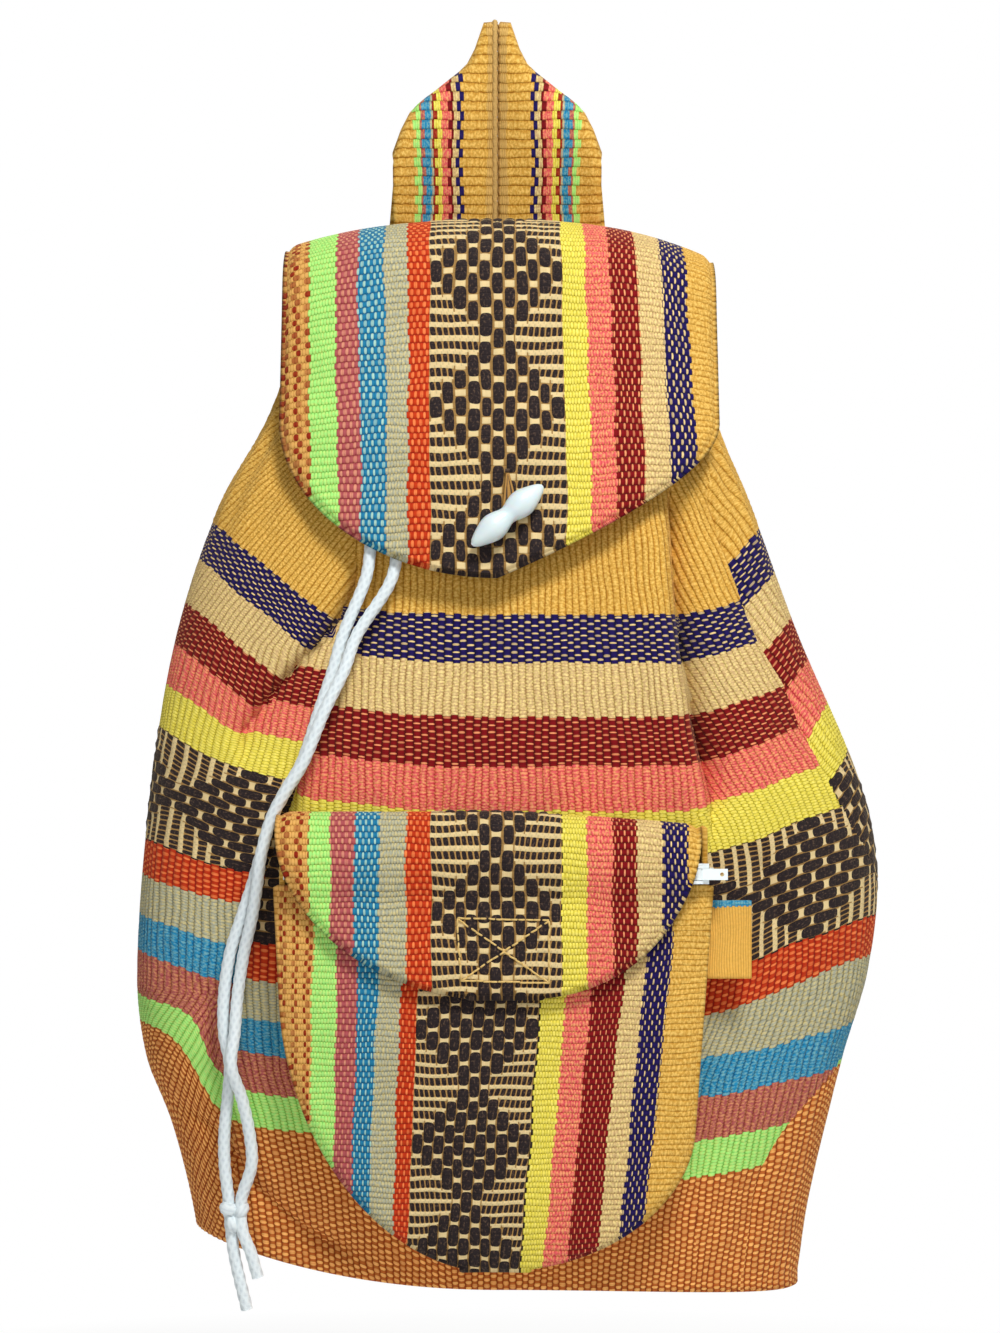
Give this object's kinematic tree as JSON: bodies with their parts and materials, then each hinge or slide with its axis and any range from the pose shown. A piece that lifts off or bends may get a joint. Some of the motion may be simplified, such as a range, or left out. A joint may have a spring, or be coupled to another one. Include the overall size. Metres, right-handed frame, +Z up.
{
  "type": "backpack",
  "caption": "Handwoven striped cotton backpack with a drawstring mouth, a round top flap with a toggle, a zipped front pocket with its own flap, and woven straps that it hangs by.",
  "frame": {"origin": "the point that the bag hangs from, in the top of the straps' fold", "axes": "+X to the right in the front view, -Y towards the front of the bag, +Z up"},
  "size_m": [0.3309, 0.1686, 0.5796],
  "materials": {
    "body_cloth": "handwoven cotton in bands across the bag",
    "flap_cloth": "handwoven cotton in bands down the flap",
    "strap_cloth": "ribbed woven band",
    "zip_tape": "woven tape",
    "white_plastic": "smooth white",
    "cord": "white braid",
    "thread": "twisted thread",
    "label": "plain woven tape",
    "fastener": "napped tape"
  },
  "bodies": {
    "bag": {"front_panel": "body_cloth", "back_panel": "body_cloth", "base_panel": "body_cloth", "mouth_hem": "body_cloth", "drawstring_ring": "cord", "top_flap": "flap_cloth", "toggle_thread": "thread", "strap_left": "strap_cloth", "strap_right": "strap_cloth", "pocket_front": "flap_cloth", "pocket_gusset": "body_cloth", "pocket_flap": "flap_cloth", "fastener_loops": "fastener", "fastener_hooks": "fastener", "side_label": "label", "zip_tape_upper": "zip_tape", "zip_tape_lower": "zip_tape", "zip_coil": "white_plastic", "zip_stop_left": "white_plastic", "zip_stop_right": "white_plastic", "drawstring_left": "cord", "drawstring_right": "cord", "drawstring_knot": "cord", "tail_long": "cord", "tail_short": "cord"},
    "toggle": {"toggle": "white_plastic"},
    "zip_slider": {"zip_slider": "white_plastic"},
    "zip_pull": {"zip_pull": "white_plastic"}
  },
  "joints": [
    {"name": "zip_slide", "type": "slide", "parent": "bag", "child": "zip_slider", "axis": [1, 0, 0], "range_m": [-0.172, 0]},
    {"name": "zip_pull_swing", "type": "hinge", "parent": "zip_slider", "child": "zip_pull", "pos_m": [0.0852, -0.13135, -0.386], "axis": [0, 0, -1], "range_deg": [0, 90]},
    {"name": "toggle_turn", "type": "hinge", "parent": "bag", "child": "toggle", "pos_m": [0.0045, -0.11252, -0.23306], "axis": [0, -0.9799, 0.1994], "range_deg": [-90, 90]}
  ]
}
